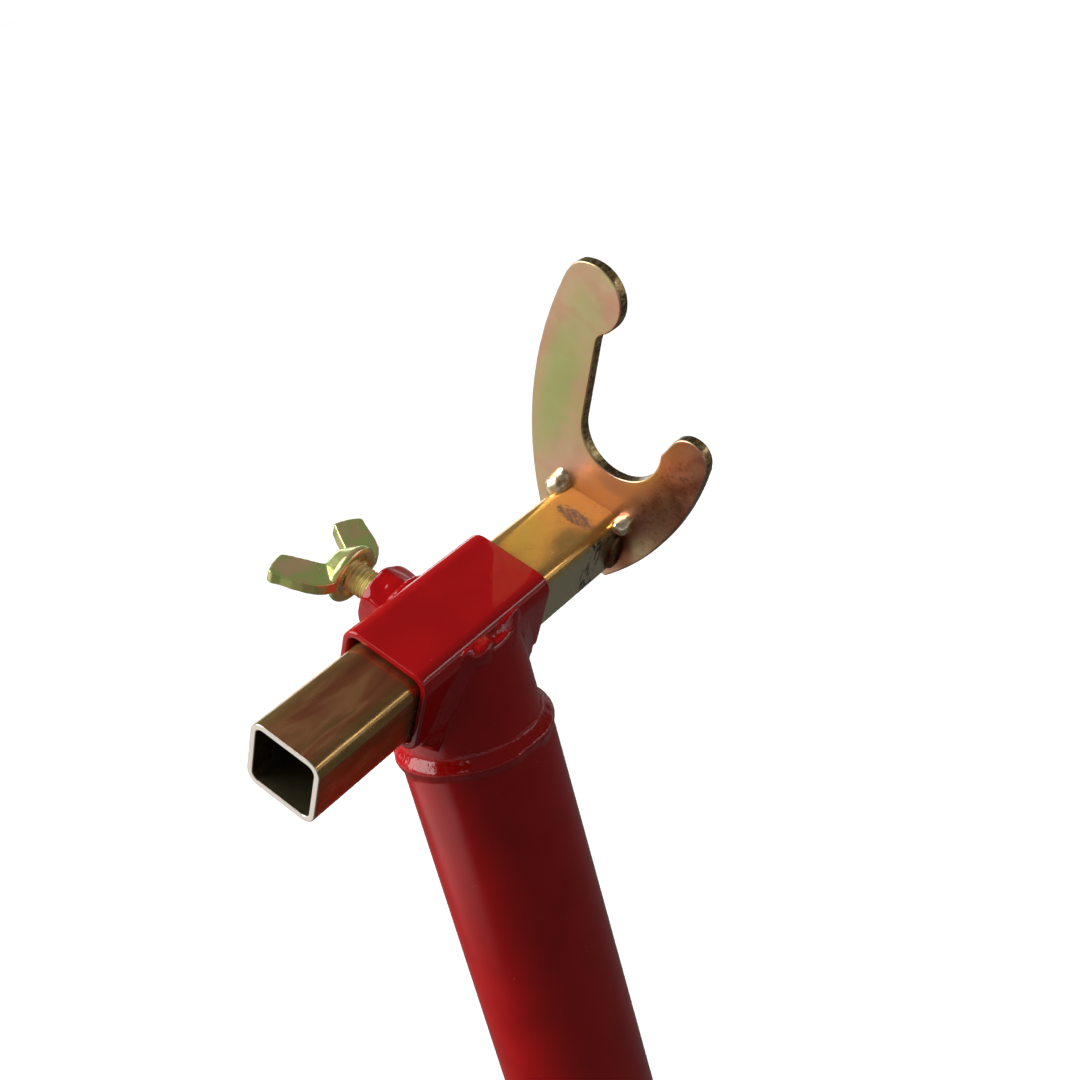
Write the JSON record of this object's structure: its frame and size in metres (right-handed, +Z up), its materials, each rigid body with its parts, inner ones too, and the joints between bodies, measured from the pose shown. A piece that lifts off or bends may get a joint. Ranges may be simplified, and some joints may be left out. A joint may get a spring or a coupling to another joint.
{
  "type": "aircraft tow bar",
  "caption": "Hand tow bar for a light aircraft: red shaft with T-handle, crosswise sleeve, sliding square bar with a hook plate, locked by a wing screw.",
  "frame": {"origin": "middle of the T-handle, on its axis and on the shaft's axis, where hands hold the bar", "axes": "+Z up the shaft to the head, +Y along the handle and the sliding bar towards its hook plate, +X across, to the side that the hook's mouth leans to"},
  "size_m": [0.1048, 0.33, 0.649],
  "materials": {
    "red_paint": "gloss powder coat",
    "yellow_zinc": "yellow chromated zinc, iridescent, lightly scratched",
    "black_rubber": "matt ribbed rubber",
    "black_plastic": "satin moulded plastic",
    "brass": "turned"
  },
  "bodies": {
    "shaft_frame": {"shaft_tube": "red_paint", "stub_tube": "red_paint", "ring_weld": "red_paint", "cross_sleeve": "red_paint", "saddle_weld": "red_paint", "weld_nut": "red_paint", "nut_weld": "red_paint", "shaft_cap": "black_plastic", "handle_tube": "red_paint", "handle_weld_near": "red_paint", "handle_weld_far": "red_paint", "grip_near": "black_rubber", "grip_far": "black_rubber"},
    "hook_bar": {"slide_tube": "yellow_zinc", "hook_plate": "yellow_zinc", "hook_weld_top_left": "yellow_zinc", "hook_weld_top_right": "yellow_zinc", "hook_weld_right": "yellow_zinc", "hook_weld_left": "yellow_zinc", "hook_weld_under": "yellow_zinc"},
    "screw_feed": {"thrust_tip": "brass"},
    "wing_screw": {"screw_rod": "yellow_zinc", "wing_head": "yellow_zinc"}
  },
  "joints": [
    {"name": "hook_slide", "type": "slide", "parent": "shaft_frame", "child": "hook_bar", "axis": [0, 1, 0], "range_m": [-0.034, 0.04]},
    {"name": "screw_feed_slide", "type": "slide", "parent": "shaft_frame", "child": "screw_feed", "axis": [-0.8729, 0, 0.4879], "range_m": [0, 0.009]},
    {"name": "wing_turn", "type": "hinge", "parent": "screw_feed", "child": "wing_screw", "pos_m": [-0.03516, 0, 0.53908], "axis": [-0.8729, 0, 0.4879], "range_deg": [0, 2160]}
  ],
  "couplings": [
    {"joint": "wing_turn", "follows": "screw_feed_slide", "rad_per_m": 4188.8}
  ]
}
